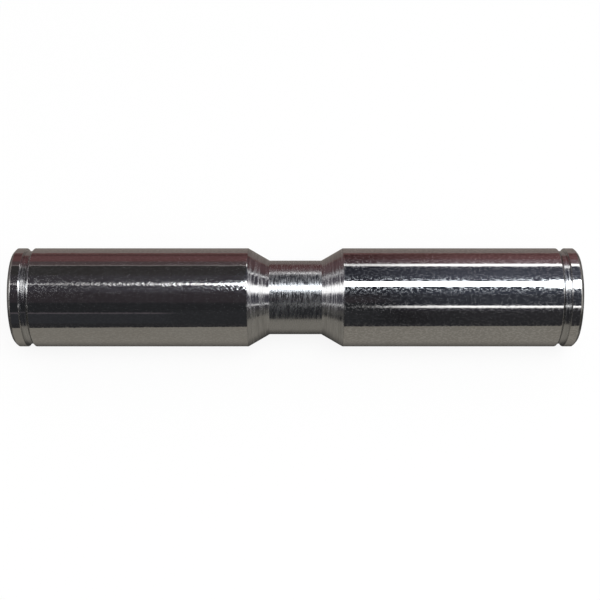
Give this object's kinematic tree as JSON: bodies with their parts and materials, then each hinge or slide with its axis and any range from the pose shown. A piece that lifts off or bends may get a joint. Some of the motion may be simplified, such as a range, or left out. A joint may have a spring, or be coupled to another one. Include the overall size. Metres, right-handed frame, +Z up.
{
  "type": "carbon dioxide diffuser",
  "caption": "Waisted cylindrical aquarium gas diffuser in polished steel, with a push-in tube port, a check valve and a porous ceramic outlet disc.",
  "frame": {"origin": "middle of the waist, on the axis of the body, which is the centre of the bounding box", "axes": "+X along the axis from the gas inlet towards the ceramic disc, +Z up as the body lies on a table"},
  "size_m": [0.091, 0.016, 0.016],
  "materials": {
    "polished_steel": "ground and polished stainless steel with fine scratches",
    "turned_steel": "lathe-turned stainless steel with fine tool marks round the axis",
    "spring_steel": "drawn stainless wire",
    "turned_brass": "turned brass",
    "black_acetal": "machined black acetal",
    "seal_rubber": "moulded black nitrile",
    "silicone": "translucent white silicone",
    "porous_ceramic": "sintered, unglazed and porous"
  },
  "bodies": {
    "body": {"inlet_barrel": "polished_steel", "outlet_barrel": "polished_steel", "waist_coupling": "turned_steel", "coupling_o_ring_inlet": "seal_rubber", "coupling_o_ring_outlet": "seal_rubber"},
    "inlet_cap_seal": {"inlet_cap_o_ring": "seal_rubber"},
    "inlet_cap": {"inlet_cap": "turned_steel", "collet_ring": "turned_brass", "backup_washer": "black_acetal", "tube_o_ring": "seal_rubber", "valve_cage": "black_acetal", "valve_spring": "spring_steel"},
    "collet": {"tube_collet": "black_acetal"},
    "poppet": {"valve_poppet": "turned_brass", "poppet_o_ring": "seal_rubber"},
    "outlet_cap_seal": {"outlet_cap_o_ring": "seal_rubber"},
    "outlet_cap": {"outlet_cap": "turned_steel", "disc_gasket_outer": "silicone", "ceramic_disc": "porous_ceramic", "disc_gasket_inner": "silicone", "disc_retainer": "turned_brass"}
  },
  "joints": [
    {"name": "inlet_cap_travel", "type": "slide", "parent": "body", "child": "inlet_cap_seal", "axis": [-1, 0, 0], "range_m": [0, 0.005]},
    {"name": "inlet_cap_turn", "type": "hinge", "parent": "inlet_cap_seal", "child": "inlet_cap", "pos_m": [-0.0455, 0, 0], "axis": [-1, 0, 0], "range_deg": [0, 1800]},
    {"name": "collet_press", "type": "slide", "parent": "inlet_cap", "child": "collet", "axis": [1, 0, 0], "range_m": [0, 0.0008]},
    {"name": "valve_lift", "type": "slide", "parent": "inlet_cap", "child": "poppet", "axis": [1, 0, 0], "range_m": [0, 0.0015], "stiffness_N_per_m": 60, "deforming": ["valve_spring"]},
    {"name": "outlet_cap_travel", "type": "slide", "parent": "body", "child": "outlet_cap_seal", "axis": [1, 0, 0], "range_m": [0, 0.005]},
    {"name": "outlet_cap_turn", "type": "hinge", "parent": "outlet_cap_seal", "child": "outlet_cap", "pos_m": [0.0455, 0, 0], "axis": [1, 0, 0], "range_deg": [0, 1800]}
  ],
  "couplings": [
    {"joint": "inlet_cap_travel", "follows": "inlet_cap_turn", "m_per_rad": 0.00015915},
    {"joint": "outlet_cap_travel", "follows": "outlet_cap_turn", "m_per_rad": 0.00015915}
  ]
}
